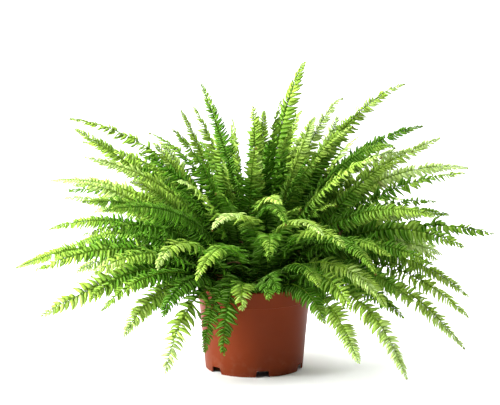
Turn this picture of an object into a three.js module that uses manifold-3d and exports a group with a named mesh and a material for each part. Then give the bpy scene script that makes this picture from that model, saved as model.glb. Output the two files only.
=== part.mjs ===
// A sword fern in a round nursery pot. Millimetres, +Z up, the middle of the pot's foot on the origin.
// +X is to the right of the photograph and -Y is towards the viewer.
import * as THREE from "three";
import { mergeVertices } from "three/addons/utils/BufferGeometryUtils.js";
import Module from "manifold-3d";

const wasm = await Module();
wasm.setup();

const DEG = Math.PI / 180;

// Pot
const POT_HEIGHT = 145;
const RIM_RADIUS = 95;
const COLLAR_HEIGHT = 27;
const WALL_TOP_RADIUS = 92.6;
const FOOT_RADIUS = 81.5;
const WALL = 2;
const FLOOR_UNDERSIDE = 12;
const FLOOR_THICKNESS = 2.4;
const POT_SIDES = 48;
const NOTCHES = 6;
const NOTCH_WIDTH = 20;
const NOTCH_HEIGHT = 10.5;
const NOTCH_TURN = 10; // degrees from the front, towards the right
const DRAIN_RADIUS = 5;
const DRAIN_RING = 52;
const DRAINS = 6;

// Compost
const SOIL_TOP = 130;
const CLEAR = 0.35; // between the compost and the pot
const HOLE_CLEAR = 0.4; // between a stem and its hole

// Fronds
const STEM_DEPTH = 16; // how far a stem stands in the compost
const COLLAR_OF_STEM = 2; // height over the compost at which a stem starts to lean
const STEM_HALF = 1.5;
const TIP_HALF = 0.5;
const BLADE = 0.7; // leaflet thickness at its outer end
const GUARD = 0.35; // extra size of a frond while its room is looked for
const BARE = 0.13; // part of a frond's length that has no leaflets
const PAIR_PITCH = 55;
const RINGS = [
  { radius: 68, count: 20 },
  { radius: 51, count: 15 },
  { radius: 35, count: 12 },
  { radius: 19, count: 7 },
  { radius: 5, count: 3 },
];

// Each row is one frond seen in the photograph: where its tip ends (x, y, z), how steeply it
// leaves the compost, the slope of its tip, both in degrees, its sideways bow, and half its width.
const OWN_CROWN = [
  // left
  [-395, -20, 172, 52, -24, -10, 18],
  [-306, 40, 414, 80, 8, 8, 21],
  [-290, 110, 365, 74, 12, 10, 21],
  [-272, -100, 370, 76, 14, -8, 20],
  [-342, 60, 306, 68, -6, 8, 21],
  [-328, 130, 277, 66, -8, 8, 20],
  [-274, -140, 304, 70, 0, -8, 20],
  [-343, 20, 230, 60, -22, -8, 19],
  [-311, 100, 185, 56, -30, 8, 20],
  [-258, -190, 194, 56, -32, -10, 21],
  [-344, -120, 114, 48, -28, -8, 26],
  [-208, -170, 92, 46, -48, 10, 22],
  [-143, -175, 33, 46, -66, 8, 24],
  // top
  [-88, 30, 473, 84, 66, 8, 18],
  [-129, -130, 419, 80, 38, -8, 20],
  [83, 0, 514, 86, 50, -10, 25],
  // right
  [249, 40, 472, 80, 12, -10, 21],
  [158, -60, 415, 80, 20, 10, 20],
  [314, 90, 374, 72, 20, 8, 21],
  [355, 20, 334, 68, -8, -6, 21],
  [310, 100, 263, 64, -10, 8, 20],
  [394, -30, 232, 58, -10, -8, 26],
  [339, -90, 221, 60, -24, -8, 25],
  [316, 90, 161, 54, -36, 8, 21],
  [347, -110, 110, 48, -38, -8, 20],
  [342, -110, 57, 44, -50, 8, 21],
  [243, -190, 27, 44, -66, 8, 21],
  [167, -170, 48, 46, -58, -8, 20],
  // front
  [-50, -152, 56, 76, -84, 6, 22],
  [-84, -142, 59, 74, -82, -8, 19],
  [22, -195, 157, 54, -60, -10, 20],
  [102, -210, 181, 58, -50, -8, 20],
  [138, -280, 257, 64, -32, 8, 21],
  [-151, -240, 216, 62, -62, 12, 21],
  [-65, -290, 288, 68, -34, -12, 20],
  [48, -300, 298, 70, -44, 14, 21],
  [21, -330, 248, 62, -40, -10, 21],
  [60, -110, 420, 82, 20, -12, 20],
];

// These fronds share the crown of a neighbour.
const SHARED_CROWN = [
  [-292, -40, 403, 78, 30, -8, 20],
  [-258, 20, 340, 74, -20, 12, 19],
  [-294, -60, 318, 70, -12, -10, 21],
  [-312, -10, 290, 66, 0, -6, 20],
  [-272, 90, 247, 66, -30, 8, 19],
  [-235, -210, 302, 70, -6, -12, 20],
  [-281, -120, 250, 62, -20, -10, 21],
  [-354, -100, 185, 54, -24, -10, 22],
  [-245, -160, 131, 48, -46, -10, 19],
  [-87, -40, 450, 84, 44, -10, 20],
  [-20, -30, 418, 87, 62, 8, 20],
  [146, 10, 451, 84, 6, 8, 20],
  [276, 60, 380, 76, 8, 8, 20],
  [228, -60, 379, 78, -50, -14, 20],
  [343, -50, 334, 68, 4, -8, 20],
  [286, -150, 282, 66, -14, -8, 21],
  [353, -50, 116, 48, -42, 6, 20],
  [208, -190, 143, 52, -52, -10, 19],
  [193, -200, 166, 56, -48, 10, 20],
  [-20, -190, 153, 54, -66, 10, 20],
  [68, -190, 154, 54, -60, 10, 20],
  [181, -250, 210, 60, -40, -10, 20],
  [196, -220, 250, 66, -34, 8, 20],
  [-89, -290, 209, 60, -50, -10, 20],
  [40, -290, 327, 74, -10, 10, 20],
  [104, -300, 281, 68, -30, 10, 20],
  [-120, -150, 345, 76, -6, 10, 20],
];

// The heart of the plant and its far side are filled tier by tier, between two bearings.
const TIERS = [
  { own: true, count: 7, from: 22, to: 158, reach: 325, height: 150, launch: 50, end: -34, width: 21 },
  { own: true, count: 6, from: 20, to: 160, reach: 295, height: 270, launch: 64, end: -12, width: 20 },
  { own: false, count: 5, from: 26, to: 154, reach: 215, height: 375, launch: 76, end: 6, width: 20 },
  { own: true, count: 3, from: 40, to: 140, reach: 120, height: 415, launch: 83, end: 34, width: 20 },
  { own: true, count: 3, from: -150, to: -30, reach: 70, height: 385, launch: 82, end: 20, width: 19 },
  { own: false, count: 4, from: -165, to: -15, reach: 160, height: 300, launch: 76, end: -16, width: 19 },
];

// Middling fronds that fill the mass between the seen tips. They share crowns too.
const FILLING = [
  // top
  [30, 20, 455, 84, 40, 8, 21],
  [60, -30, 440, 84, 40, -8, 21],
  [100, 40, 450, 82, 36, 8, 21],
  [60, 160, 395, 76, 10, 8, 20],
  [180, 60, 420, 80, 24, -8, 21],
  [-38, 40, 404, 86, 50, 8, 21],
  [-20, -125, 392, 80, 12, 8, 20],
  [-62, 60, 402, 80, 30, -8, 21],
  [-110, 20, 400, 78, 20, 8, 21],
  [-150, 60, 375, 76, 10, 8, 21],
  [-190, -20, 362, 74, 6, -8, 21],
  [-200, 100, 330, 72, 0, 8, 21],
  // right
  [200, 80, 370, 76, 12, 8, 21],
  [235, -20, 350, 74, 4, -8, 21],
  [270, -30, 305, 72, -4, 8, 22],
  [260, 100, 300, 70, -8, -8, 21],
  [300, 10, 258, 66, -12, 8, 22],
  [305, -70, 205, 58, -24, -8, 22],
  [285, 50, 190, 56, -30, 8, 22],
  [275, -130, 160, 54, -34, 8, 21],
  [225, -140, 125, 52, -44, -8, 21],
  [112, -165, 112, 56, -62, 8, 21],
  [150, -215, 150, 56, -50, -8, 21],
  // left
  [-290, -60, 150, 50, -30, 8, 22],
  [-265, 60, 140, 50, -34, -8, 22],
  [-160, -160, 110, 52, -50, 8, 22],
  [-215, -60, 235, 62, -20, -8, 21],
  // more, all over
  [40, -60, 462, 85, 46, 10, 20],
  [18, 70, 426, 84, 36, -8, 20],
  [110, 170, 405, 78, 14, -8, 20],
  [222, -90, 362, 74, 8, 8, 20],
  [262, 20, 338, 72, 0, -8, 20],
  [318, -10, 216, 58, -20, 8, 25],
  [332, 60, 246, 62, -12, -8, 22],
  [290, -100, 194, 56, -28, 8, 21],
  [-262, -130, 142, 50, -36, 8, 22],
  [-160, -125, 106, 54, -46, -8, 20],
  [-205, -80, 322, 70, -4, 8, 20],
  [-216, 40, 272, 66, -14, 8, 20],
  [-60, 185, 150, 50, -50, 8, 20],
  // low behind
  [-130, 165, 110, 48, -56, 8, 20],
];
const SHARERS = 2; // fronds that a crown may hold besides its own
const FACING = 24; // how far, in degrees, a frond is rolled at least to show its face to the viewer
const SEED = 20011;

// Moves that are tried, nearest first, until a frond stands clear of the others.
const TURNS = [0, 2, -2, 4, -4, 6, -6, 9, -9, 12, -12, 16, -16];
const LIFTS = [0, 7, -7, 14, -14, 22, -22];
const STEEPER = [0, 5, -5, 10, -10];
const CROWN_CHOICES = 12; // crowns that a sharing frond tries

// Draws between 0 and 1, a series of its own for each frond.
function seriesOf(number) {
  let draw = SEED + 7919 * number;
  return () => {
    draw = (draw * 1664525 + 1013904223) % 4294967296;
    return draw / 4294967296;
  };
}

function solidOf(geometry) {
  const bare = new THREE.BufferGeometry();
  bare.setAttribute("position", geometry.getAttribute("position").clone());
  if (geometry.index) bare.setIndex(geometry.index.clone());
  const merged = mergeVertices(bare, 1e-4);
  return new wasm.Manifold(
    new wasm.Mesh({
      numProp: 3,
      vertProperties: new Float32Array(merged.attributes.position.array),
      triVerts: new Uint32Array(merged.index.array),
    }),
  );
}

function geometryOf(solid) {
  const mesh = solid.getMesh();
  const places = new Float32Array(mesh.numVert * 3);
  for (let i = 0; i < mesh.numVert; i++) {
    places.set(
      mesh.vertProperties.subarray(i * mesh.numProp, i * mesh.numProp + 3),
      i * 3,
    );
  }
  const geometry = new THREE.BufferGeometry();
  geometry.setAttribute("position", new THREE.BufferAttribute(places, 3));
  geometry.setIndex(new THREE.BufferAttribute(new Uint32Array(mesh.triVerts), 1));
  return geometry;
}

function turned(profile, sides) {
  const points = profile.map(([r, z]) => new THREE.Vector2(r, z));
  const lathe = new THREE.LatheGeometry(points, sides);
  lathe.rotateX(Math.PI / 2);
  return solidOf(lathe);
}

function block(width, depth, height, x, y, z, turn) {
  const box = new THREE.BoxGeometry(width, depth, height);
  box.rotateZ(turn);
  box.translate(x, y, z);
  return solidOf(box);
}

// Outer wall radius below the collar.
function wallRadius(z) {
  const top = POT_HEIGHT - COLLAR_HEIGHT;
  return FOOT_RADIUS + ((WALL_TOP_RADIUS - FOOT_RADIUS) * z) / top;
}

function potSolid() {
  const collarFoot = POT_HEIGHT - COLLAR_HEIGHT;
  const floorTop = FLOOR_UNDERSIDE + FLOOR_THICKNESS;
  let pot = turned(
    [
      [0, FLOOR_UNDERSIDE],
      [wallRadius(FLOOR_UNDERSIDE) - WALL, FLOOR_UNDERSIDE],
      [FOOT_RADIUS - WALL, 0],
      [FOOT_RADIUS, 0],
      [WALL_TOP_RADIUS, collarFoot],
      [RIM_RADIUS - 0.8, collarFoot],
      [RIM_RADIUS, POT_HEIGHT - 2],
      [RIM_RADIUS - 0.8, POT_HEIGHT],
      [RIM_RADIUS - 3.4, POT_HEIGHT],
      [WALL_TOP_RADIUS - WALL, collarFoot],
      [wallRadius(floorTop) - WALL, floorTop],
      [0, floorTop],
    ],
    POT_SIDES,
  );
  for (let i = 0; i < NOTCHES; i++) {
    const angle = (NOTCH_TURN + (360 / NOTCHES) * i - 90) * DEG;
    const x = (FOOT_RADIUS - 1) * Math.cos(angle);
    const y = (FOOT_RADIUS - 1) * Math.sin(angle);
    pot = pot.subtract(
      block(14, NOTCH_WIDTH, NOTCH_HEIGHT * 2, x, y, 0, angle),
    );
  }
  for (let i = 0; i < DRAINS; i++) {
    const angle = ((360 / DRAINS) * i + 40) * DEG;
    const drill = new THREE.CylinderGeometry(DRAIN_RADIUS, DRAIN_RADIUS, 20, 10);
    drill.rotateX(Math.PI / 2);
    drill.translate(
      DRAIN_RING * Math.cos(angle),
      DRAIN_RING * Math.sin(angle),
      FLOOR_UNDERSIDE,
    );
    pot = pot.subtract(solidOf(drill));
  }
  return pot;
}

// How a frond of length 1 runs: unit places and directions along it, bearing 0.
const STEPS = 48;
function unitSpine(launch, end, bend, sway) {
  const places = [[0, 0, 0]];
  const slopes = [];
  const bearings = [];
  for (let i = 0; i <= STEPS; i++) {
    const s = i / STEPS;
    slopes.push((end + (launch - end) * Math.pow(1 - s, bend)) * DEG);
    bearings.push(sway * (2 * s - 1) * DEG);
  }
  for (let i = 0; i < STEPS; i++) {
    const slope = (slopes[i] + slopes[i + 1]) / 2;
    const bearing = (bearings[i] + bearings[i + 1]) / 2;
    const [x, y, z] = places[i];
    places.push([
      x + (Math.cos(slope) * Math.cos(bearing)) / STEPS,
      y + (Math.cos(slope) * Math.sin(bearing)) / STEPS,
      z + Math.sin(slope) / STEPS,
    ]);
  }
  return { places, slopes, bearings };
}

// A frond's spine from its crown to its tip. The bend is found that brings the tip to its place.
function spineOf(frond) {
  const dx = frond.tip[0] - frond.base[0];
  const dy = frond.tip[1] - frond.base[1];
  const dz = frond.tip[2] - SOIL_TOP - COLLAR_OF_STEM;
  const reach = Math.hypot(dx, dy);
  const wanted = Math.atan2(dz, reach);
  let low = Math.log(0.15);
  let high = Math.log(7);
  for (let i = 0; i < 30; i++) {
    const middle = (low + high) / 2;
    const { places } = unitSpine(frond.launch, frond.end, Math.exp(middle), frond.sway);
    const [x, y, z] = places[STEPS];
    if (Math.atan2(z, Math.hypot(x, y)) > wanted) low = middle;
    else high = middle;
  }
  const spine = unitSpine(frond.launch, frond.end, Math.exp((low + high) / 2), frond.sway);
  const [x, y, z] = spine.places[STEPS];
  const length = Math.hypot(reach, dz) / Math.hypot(x, y, z);
  const turn = Math.atan2(dy, dx) - Math.atan2(y, x);
  const c = Math.cos(turn);
  const s = Math.sin(turn);
  spine.places = spine.places.map(([px, py, pz]) => [
    frond.base[0] + length * (c * px - s * py),
    frond.base[1] + length * (s * px + c * py),
    SOIL_TOP + COLLAR_OF_STEM + length * pz,
  ]);
  spine.bearings = spine.bearings.map((b) => b + turn);
  spine.length = length;
  return spine;
}

// Place and frame at part s of the spine's length: forward, left and up.
function stationAt(spine, frond, s) {
  const at = Math.min(Math.max(s, 0), 1) * STEPS;
  const i = Math.min(Math.floor(at), STEPS - 1);
  const part = at - i;
  const mix = (a, b) => a + (b - a) * part;
  const place = [0, 1, 2].map((k) => mix(spine.places[i][k], spine.places[i + 1][k]));
  const slope = mix(spine.slopes[i], spine.slopes[i + 1]);
  const bearing = mix(spine.bearings[i], spine.bearings[i + 1]);
  const roll = frond.roll * DEG * Math.min(1, s / 0.45);
  return { place, ...frameOf(slope, bearing, roll) };
}

function frameOf(slope, bearing, roll) {
  const forward = new THREE.Vector3(
    Math.cos(slope) * Math.cos(bearing),
    Math.cos(slope) * Math.sin(bearing),
    Math.sin(slope),
  );
  const left = new THREE.Vector3(-Math.sin(bearing), Math.cos(bearing), 0);
  left.applyAxisAngle(forward, roll);
  const up = new THREE.Vector3().crossVectors(forward, left);
  return { forward, left, up };
}

// Length of the leaflets along the leafy part, as a share of the longest.
function leafletShare(t) {
  const rise = Math.min(1, 0.5 + 2.2 * t);
  const fall = Math.pow(1 - Math.pow(t, 3.4), 0.8);
  return 0.1 + 0.9 * rise * fall;
}

// The solid of a frond: a rib with a leaflet pair between each two stations, from its buried foot,
// or only its leafy part. `guard` makes it thicker all round.
function frondSolid(frond, guard, leafyOnly) {
  const spine = spineOf(frond);
  const sections = [];
  const add = (place, frame, half) =>
    sections.push({ ...frame, place: new THREE.Vector3(...place), half: half + guard });
  const kinkHalf = frond.elder ? STEM_HALF - 0.45 : STEM_HALF;
  if (!leafyOnly) {
    const depth = frond.elder ? STEM_DEPTH - 4 : STEM_DEPTH;
    const down = frameOf(90 * DEG, frond.rootBearing, 0);
    add([frond.base[0], frond.base[1], SOIL_TOP - depth], down, kinkHalf);
    const lean = frameOf(((90 + frond.launch) / 2) * DEG, frond.rootBearing, 0);
    add([frond.base[0], frond.base[1], SOIL_TOP + COLLAR_OF_STEM], lean, kinkHalf);
    const low = stationAt(spine, frond, BARE * 0.5);
    add(low.place, low, kinkHalf - 0.1);
  }
  const leafy = spine.length * (1 - BARE);
  const pairs = Math.max(4, Math.round(leafy / PAIR_PITCH));
  const bareSections = sections.length;
  for (let k = 0; k <= pairs; k++) {
    const t = k / pairs;
    const s = BARE + (1 - BARE) * t;
    const here = stationAt(spine, frond, s);
    add(here.place, here, kinkHalf - 0.2 + (TIP_HALF - kinkHalf + 0.2) * t);
  }
  const places = [];
  const faces = [];
  const put = (v) => {
    places.push(v.x, v.y, v.z);
    return places.length / 3 - 1;
  };
  const quad = (a, b, c, d) => faces.push(a, b, c, a, c, d);
  for (const section of sections) {
    const corner = (side, top) =>
      section.place
        .clone()
        .addScaledVector(section.left, side * section.half)
        .addScaledVector(section.up, top * section.half);
    section.lt = put(corner(1, 1));
    section.rt = put(corner(-1, 1));
    section.rb = put(corner(-1, -1));
    section.lb = put(corner(1, -1));
  }
  for (let i = 0; i < sections.length - 1; i++) {
    const a = sections[i];
    const b = sections[i + 1];
    quad(a.lt, a.rt, b.rt, b.lt);
    quad(a.lb, b.lb, b.rb, a.rb);
    if (i < bareSections) {
      quad(a.lt, b.lt, b.lb, a.lb);
      quad(a.rt, a.rb, b.rb, b.rt);
      continue;
    }
    const k = i - bareSections;
    const t = (k + 0.6) / pairs;
    const long = frond.width * leafletShare(t);
    const half = BLADE / 2 + guard;
    const droop = frond.droop * DEG;
    for (const side of [1, -1]) {
      const tip = a.place.clone().lerp(b.place, 0.72);
      const out = a.left.clone().lerp(b.left, 0.5).normalize().multiplyScalar(side);
      const up = a.up.clone().lerp(b.up, 0.5).normalize();
      const forward = a.forward.clone().lerp(b.forward, 0.5).normalize();
      tip.addScaledVector(out, long * Math.cos(droop) + guard);
      tip.addScaledVector(forward, long * 0.28);
      tip.addScaledVector(up, -long * Math.sin(droop));
      const top = put(tip.clone().addScaledVector(up, half));
      const under = put(tip.clone().addScaledVector(up, -half));
      if (side > 0) {
        faces.push(a.lt, b.lt, top, a.lb, under, b.lb);
        quad(b.lt, b.lb, under, top);
        quad(a.lt, top, under, a.lb);
      } else {
        faces.push(a.rt, top, b.rt, a.rb, b.rb, under);
        quad(b.rt, top, under, b.rb);
        quad(a.rt, a.rb, under, top);
      }
    }
  }
  const head = sections[0];
  const tail = sections[sections.length - 1];
  quad(head.lt, head.lb, head.rb, head.rt);
  quad(tail.lt, tail.rt, tail.rb, tail.lb);
  return new wasm.Manifold(
    new wasm.Mesh({
      numProp: 3,
      vertProperties: new Float32Array(places),
      triVerts: new Uint32Array(faces),
    }),
  );
}

function rowFrond([x, y, z, launch, end, sway, width], own) {
  return { tip: [x, y, z], launch, end, sway, width, own, near: true };
}

// All fronds: the seen ones, then the tiers.
function listFronds() {
  const fronds = [
    ...OWN_CROWN.map((row) => rowFrond(row, true)),
    ...SHARED_CROWN.map((row) => rowFrond(row, false)),
  ];
  for (const tier of TIERS) {
    for (let i = 0; i < tier.count; i++) {
      const random = seriesOf(fronds.length + 200);
      const share = (i + 0.5) / tier.count;
      const bearing = (tier.from + (tier.to - tier.from) * share + 10 * (random() - 0.5)) * DEG;
      const reach = tier.reach * (1 + 0.1 * (random() - 0.5));
      fronds.push({
        tip: [
          1.08 * reach * Math.cos(bearing),
          reach * Math.sin(bearing),
          tier.height + 50 * (random() - 0.5),
        ],
        launch: tier.launch,
        end: tier.end + 16 * (random() - 0.5),
        sway: 24 * (random() - 0.5),
        width: tier.width,
        own: tier.own,
        near: tier.from < 0,
      });
    }
  }
  fronds.push(...FILLING.map((row) => rowFrond(row, false)));
  fronds.forEach((frond, number) => {
    const random = seriesOf(number);
    const bearing = Math.atan2(frond.tip[1], frond.tip[0]);
    const face = FACING + 34 * random() + 0.5 * Math.max(0, frond.end);
    const wander = random() - 0.5;
    frond.roll = frond.near ? face * Math.cos(bearing) + 24 * wander : 70 * wander;
    frond.droop = 8 + 14 * random();
  });
  return fronds;
}

// Crowns stand on rings: the fronds that lean most stand outermost, each ring in order of bearing.
function placeCrowns(fronds) {
  const order = fronds
    .map((frond) => ({ frond, bearing: Math.atan2(frond.tip[1], frond.tip[0]) }))
    .sort((a, b) => a.frond.launch - b.frond.launch);
  let from = 0;
  for (const ring of RINGS) {
    const group = order.slice(from, from + ring.count).sort((a, b) => a.bearing - b.bearing);
    from += ring.count;
    const gap = ((2 * Math.PI) / group.length) * 0.86;
    for (let pass = 0; pass < 200; pass++) {
      for (let i = 0; i < group.length; i++) {
        const one = group[i];
        const next = group[(i + 1) % group.length];
        const wrap = i + 1 === group.length ? 2 * Math.PI : 0;
        const short = gap - (next.bearing + wrap - one.bearing);
        if (short > 0) {
          one.bearing -= short / 2;
          next.bearing += short / 2;
        }
      }
    }
    for (const { frond, bearing } of group) {
      frond.base = [ring.radius * Math.cos(bearing), ring.radius * Math.sin(bearing)];
    }
  }
}

// The standing crowns with room for one more frond, those that head and lean most like it first.
function crownsFor(frond, grown) {
  const bearing = Math.atan2(frond.tip[1], frond.tip[0]);
  const cost = (crown) => {
    const theirs = Math.atan2(crown.base[1], crown.base[0]);
    const apart = Math.abs(Math.atan2(Math.sin(bearing - theirs), Math.cos(bearing - theirs)));
    return apart / DEG + 1.5 * Math.abs(Math.abs(frond.launch - crown.launch) - 8);
  };
  return grown
    .filter((crown) => crown.sharing.length < SHARERS)
    .map((crown) => ({ crown, cost: cost(crown) }))
    .sort((a, b) => a.cost - b.cost)
    .slice(0, CROWN_CHOICES)
    .map(({ crown }) => crown);
}

// Every way to move a frond, from the least move to the greatest.
function movesInOrder() {
  const moves = [];
  for (const turn of TURNS) {
    for (const lift of LIFTS) {
      for (const steeper of STEEPER) {
        const cost = Math.abs(turn) / 2 + Math.abs(lift) / 6 + Math.abs(steeper) / 6;
        moves.push({ turn, lift, steeper, cost });
      }
    }
  }
  return moves.sort((a, b) => a.cost - b.cost);
}

function moved(frond, move) {
  const [bx, by] = frond.base;
  const dx = frond.tip[0] - bx;
  const dy = frond.tip[1] - by;
  const c = Math.cos(move.turn * DEG);
  const s = Math.sin(move.turn * DEG);
  const copy = { ...frond };
  copy.tip = [bx + c * dx - s * dy, by + s * dx + c * dy, frond.tip[2] + move.lift];
  copy.launch = Math.min(frond.launch + move.steeper, 88);
  return copy;
}

function boxesMeet(a, b) {
  return [0, 1, 2].every((k) => a.min[k] <= b.max[k] && b.min[k] <= a.max[k]);
}

// The bearing of a frond's buried stem. One that shares a crown keeps to the crown's square stem.
function rootBearing(frond, elder) {
  const own = Math.atan2(frond.tip[1] - frond.base[1], frond.tip[0] - frond.base[0]);
  if (!elder) return own;
  const quarters = Math.round((own - elder.rootBearing) / (Math.PI / 2));
  return elder.rootBearing + (quarters * Math.PI) / 2;
}

const standing = [];
const MOVES = movesInOrder();

// The first move that leaves a frond clear of everything that stands already, or null.
function clearOf(frond, elder) {
  for (const move of MOVES) {
    const trial = moved(frond, move);
    trial.elder = elder;
    trial.rootBearing = rootBearing(trial, elder);
    const probe = frondSolid(trial, GUARD, false);
    const probeBox = probe.boundingBox();
    const leafyProbe = elder ? frondSolid(trial, GUARD, true) : probe;
    const clash = standing.findIndex(
      (other) =>
        boxesMeet(probeBox, other.box) &&
        (elder && other.owner === elder ? leafyProbe : probe)
          .intersect(other.solid)
          .volume() > 1e-4,
    );
    if (clash < 0) return trial;
    standing.unshift(...standing.splice(clash, 1));
  }
  return null;
}

function stand(frond, trial) {
  Object.assign(frond, trial);
  frond.solid = frondSolid(frond, 0, false);
  frond.sharing = [];
  standing.push({
    solid: frond.solid,
    box: frond.solid.boundingBox(),
    owner: frond.elder ?? frond,
  });
}

const fronds = listFronds();
const grown = fronds.filter((frond) => frond.own);
const sharing = fronds.filter((frond) => !frond.own);
placeCrowns(grown);

const pot = potSolid();
standing.push({ solid: pot, box: pot.boundingBox(), owner: null });
for (const frond of grown) {
  const trial = clearOf(frond, null);
  if (trial) stand(frond, trial);
  else throw new Error("no room for the frond with its tip at " + frond.tip.map(Math.round));
}
for (const frond of sharing) {
  for (const crown of crownsFor(frond, grown)) {
    frond.base = crown.base;
    const trial = clearOf(frond, crown);
    if (trial) {
      stand(frond, trial);
      crown.sharing.push(frond);
      break;
    }
  }
}
const homeless = sharing.filter((frond) => !frond.solid);
if (homeless.length) {
  const tips = homeless.map((frond) => frond.tip.map(Math.round).join(" "));
  throw new Error("no crown for the fronds with their tips at " + tips.join(", "));
}

let compost = turned(
  [
    [0, FLOOR_UNDERSIDE + FLOOR_THICKNESS + CLEAR],
    [
      wallRadius(FLOOR_UNDERSIDE + FLOOR_THICKNESS) - WALL - CLEAR,
      FLOOR_UNDERSIDE + FLOOR_THICKNESS + CLEAR,
    ],
    [WALL_TOP_RADIUS - WALL - CLEAR, POT_HEIGHT - COLLAR_HEIGHT],
    [WALL_TOP_RADIUS - WALL - CLEAR, SOIL_TOP],
    [0, SOIL_TOP],
  ],
  30,
);
for (const frond of grown) {
  if (!frond.solid) continue;
  const side = 2 * (STEM_HALF + HOLE_CLEAR);
  compost = compost.subtract(
    block(
      side,
      side,
      2 * (STEM_DEPTH + HOLE_CLEAR),
      frond.base[0],
      frond.base[1],
      SOIL_TOP,
      frond.rootBearing,
    ),
  );
}

const group = new THREE.Group();
function addMesh(name, solid, colour, roughness) {
  const mesh = new THREE.Mesh(
    geometryOf(solid),
    new THREE.MeshStandardMaterial({ color: colour, roughness }),
  );
  mesh.name = name;
  group.add(mesh);
}

addMesh("pot", pot, 0x9c5a38, 0.55);
addMesh("compost", compost, 0x2a1d14, 0.95);
grown.forEach((frond, i) => {
  if (!frond.solid) return;
  const solid = frond.sharing.reduce((sum, other) => sum.add(other.solid), frond.solid);
  addMesh("frond_" + String(i + 1).padStart(2, "0"), solid, 0x4f8a1e, 0.6);
});

export default group;
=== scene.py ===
# Sword fern in a nursery pot: fine leaflets, stems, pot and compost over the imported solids.
import math

import bmesh
import bpy
from mathutils import Matrix, Vector, noise
from mathutils.kdtree import KDTree


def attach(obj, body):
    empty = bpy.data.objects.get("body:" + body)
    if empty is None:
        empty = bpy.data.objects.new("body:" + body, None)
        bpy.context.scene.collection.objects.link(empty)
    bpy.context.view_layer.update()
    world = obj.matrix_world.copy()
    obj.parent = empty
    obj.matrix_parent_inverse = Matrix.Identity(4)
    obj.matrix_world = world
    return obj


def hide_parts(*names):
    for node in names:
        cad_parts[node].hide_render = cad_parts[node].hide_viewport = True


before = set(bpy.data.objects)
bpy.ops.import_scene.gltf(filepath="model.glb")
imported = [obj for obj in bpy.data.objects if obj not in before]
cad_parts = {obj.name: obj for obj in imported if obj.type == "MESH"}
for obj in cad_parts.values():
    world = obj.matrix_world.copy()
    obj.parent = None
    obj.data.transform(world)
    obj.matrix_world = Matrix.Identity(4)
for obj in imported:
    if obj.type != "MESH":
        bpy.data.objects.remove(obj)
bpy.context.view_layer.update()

bl_info = {
    "name": "Potted sword fern",
    "version": (1, 0, 0),
    "blender": (4, 5, 0),
    "location": "View3D > Sidebar > Fern",
    "description": "Builds a potted sword fern, piece by piece",
    "category": "Add Mesh",
}

MM = 0.001
DEG = math.pi / 180

# Pot, in millimetres
POT_HEIGHT = 145
RIM_RADIUS = 95
COLLAR_HEIGHT = 27
WALL_TOP_RADIUS = 92.6
FOOT_RADIUS = 81.5
WALL = 2
FLOOR_UNDERSIDE = 12
FLOOR_THICKNESS = 2.4
NOTCHES = 6
NOTCH_WIDTH = 20
NOTCH_HEIGHT = 10.5
NOTCH_TURN = 10
DRAIN_RADIUS = 5
DRAIN_RING = 52
DRAINS = 6
DRAIN_TURN = 40
DRAIN_SIDES = 24
DRILL_LENGTH = 20
POT_SIDES = 240
SHARP = 40  # angle in degrees from which the pot's edges are drawn sharp

# Compost, in millimetres
SOIL_TOP = 130
CLEARANCE = 0.35
COMPOST_SIDES = 90
COMPOST_RINGS = 22
CRUMBS = 260

# Solids of the fronds, in millimetres
COLLAR_OF_STEM = 2  # height over the compost at which a stem starts to lean
STEM_HALF = 1.5
THINNER_SHARED = 0.45  # by how much the stem of a frond that shares a crown is thinner
THINNER_LEAFY = 0.2  # by how much a stem is thinner where its leaflets start
TIP_HALF = 0.5
BARE = 0.13  # part of a frond's length that has no leaflets
ROLLED = 0.45  # part of a frond's length from which its blade has all its roll
RINGS = [(68, 20), (51, 15), (35, 12), (19, 7), (5, 3)]  # radius, and how many crowns
LEAST_GAP = 0.86  # least gap between the crowns of a ring, as a share of an even one
SPACINGS = 200  # passes that space the crowns of a ring

# Each row is one frond: its tip (x, y, z), the slope at which it leaves the compost, the slope
# of its tip, its sideways bow, and half its width.
OWN_CROWN = [
    # left
    (-395, -20, 172, 52, -24, -10, 18),
    (-306, 40, 414, 80, 8, 8, 21),
    (-290, 110, 365, 74, 12, 10, 21),
    (-272, -100, 370, 76, 14, -8, 20),
    (-342, 60, 306, 68, -6, 8, 21),
    (-328, 130, 277, 66, -8, 8, 20),
    (-274, -140, 304, 70, 0, -8, 20),
    (-343, 20, 230, 60, -22, -8, 19),
    (-311, 100, 185, 56, -30, 8, 20),
    (-258, -190, 194, 56, -32, -10, 21),
    (-344, -120, 114, 48, -28, -8, 26),
    (-208, -170, 92, 46, -48, 10, 22),
    (-143, -175, 33, 46, -66, 8, 24),
    # top
    (-88, 30, 473, 84, 66, 8, 18),
    (-129, -130, 419, 80, 38, -8, 20),
    (83, 0, 514, 86, 50, -10, 25),
    # right
    (249, 40, 472, 80, 12, -10, 21),
    (158, -60, 415, 80, 20, 10, 20),
    (314, 90, 374, 72, 20, 8, 21),
    (355, 20, 334, 68, -8, -6, 21),
    (310, 100, 263, 64, -10, 8, 20),
    (394, -30, 232, 58, -10, -8, 26),
    (339, -90, 221, 60, -24, -8, 25),
    (316, 90, 161, 54, -36, 8, 21),
    (347, -110, 110, 48, -38, -8, 20),
    (342, -110, 57, 44, -50, 8, 21),
    (243, -190, 27, 44, -66, 8, 21),
    (167, -170, 48, 46, -58, -8, 20),
    # front
    (-50, -152, 56, 76, -84, 6, 22),
    (-84, -142, 59, 74, -82, -8, 19),
    (22, -195, 157, 54, -60, -10, 20),
    (102, -210, 181, 58, -50, -8, 20),
    (138, -280, 257, 64, -32, 8, 21),
    (-151, -240, 216, 62, -62, 12, 21),
    (-65, -290, 288, 68, -34, -12, 20),
    (48, -300, 298, 70, -44, 14, 21),
    (21, -330, 248, 62, -40, -10, 21),
    (60, -110, 420, 82, 20, -12, 20),
]

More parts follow.
